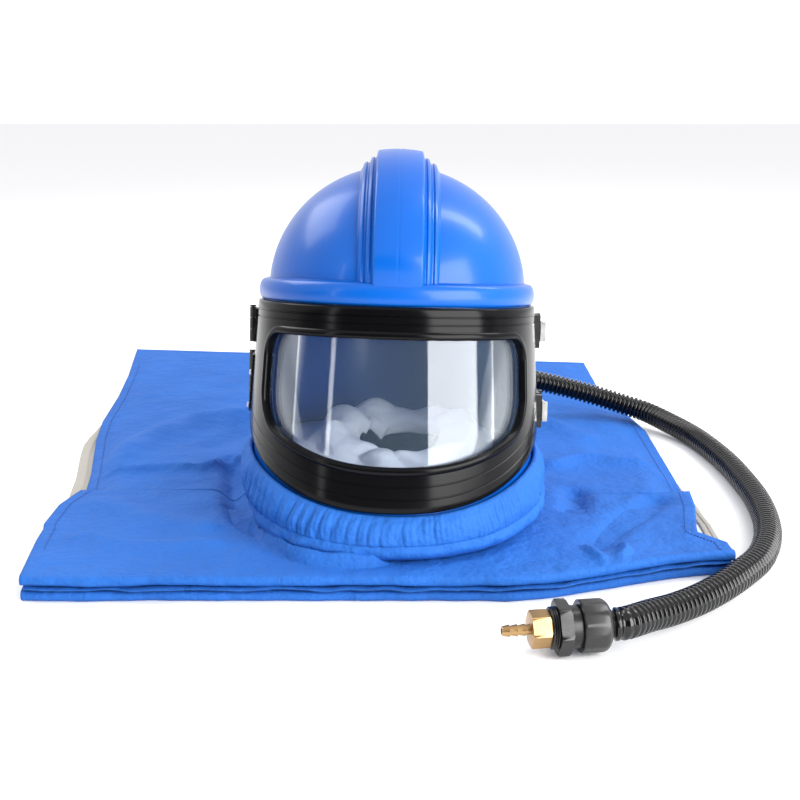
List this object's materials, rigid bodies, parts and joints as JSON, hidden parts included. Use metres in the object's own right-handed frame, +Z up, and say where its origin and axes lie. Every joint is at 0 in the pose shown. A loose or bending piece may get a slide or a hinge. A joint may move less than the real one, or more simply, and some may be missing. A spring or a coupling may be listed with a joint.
{
  "type": "sandblasting hood",
  "caption": "Blasting helmet with a hinged visor and latches, standing on its folded cloth cape, with a lying air hose and brass end fitting.",
  "frame": {"origin": "on the table, under the middle of the folded front panel, 90 mm in front of the neck's centre", "axes": "+Z up from the table, -Y the way that the visor looks, +X to the latch side"},
  "size_m": [0.6567, 0.8533, 0.2951],
  "materials": {
    "shell_plastic": "moulded ABS, satin gloss",
    "frame_plastic": "moulded black nylon, glossy",
    "lens_clear": "clear polycarbonate sheet, 1.5 mm",
    "black_fittings": "moulded black nylon",
    "steel": "nickel-plated steel",
    "cape_cloth": "plain woven coated polyester-cotton cloth",
    "liner_cloth": "thin white cloth",
    "elastic": "woven white elastic",
    "gland_plastic": "moulded black nylon",
    "brass": "turned brass",
    "hose_plastic": "corrugated black polyamide"
  },
  "bodies": {
    "hood": {"helmet_shell": "shell_plastic", "hinge_bracket_upper": "black_fittings", "hinge_pin_upper": "black_fittings", "hinge_bracket_lower": "black_fittings", "hinge_pin_lower": "black_fittings", "latch_base_upper": "black_fittings", "latch_pin_upper": "steel", "latch_base_lower": "black_fittings", "latch_pin_lower": "steel", "hose_inlet": "black_fittings", "cape_back_panel": "cape_cloth", "cape_front_panel": "cape_cloth", "gathered_collar": "cape_cloth", "inner_neck_collar": "liner_cloth", "elastic_strap_left": "elastic", "elastic_strap_right": "elastic", "gland_nut": "gland_plastic", "gland_body": "gland_plastic", "brass_adapter": "brass", "air_hose": "hose_plastic"},
    "visor": {"visor_frame": "frame_plastic", "visor_lens": "lens_clear", "hinge_leaf_upper": "black_fittings", "hinge_leaf_lower": "black_fittings", "hinge_rivet_1": "steel", "hinge_rivet_2": "steel", "latch_keeper_upper": "black_fittings", "latch_keeper_lower": "black_fittings"},
    "lever_upper": {"latch_lever_upper": "steel"},
    "lever_lower": {"latch_lever_lower": "steel"}
  },
  "joints": [
    {"name": "visor_hinge", "type": "hinge", "parent": "hood", "child": "visor", "pos_m": [-0.11859, 0.09125, 0.13321], "axis": [-0.0276, -0.1478, -0.9886], "range_deg": [0, 110]},
    {"name": "latch_upper", "type": "hinge", "parent": "hood", "child": "lever_upper", "pos_m": [0.11229, 0.11848, 0.15], "axis": [0.0276, 0.1478, 0.9886], "range_deg": [0, 120]},
    {"name": "latch_lower", "type": "hinge", "parent": "hood", "child": "lever_lower", "pos_m": [0.11451, 0.10908, 0.08701], "axis": [0.0276, 0.1478, 0.9886], "range_deg": [0, 120]}
  ]
}
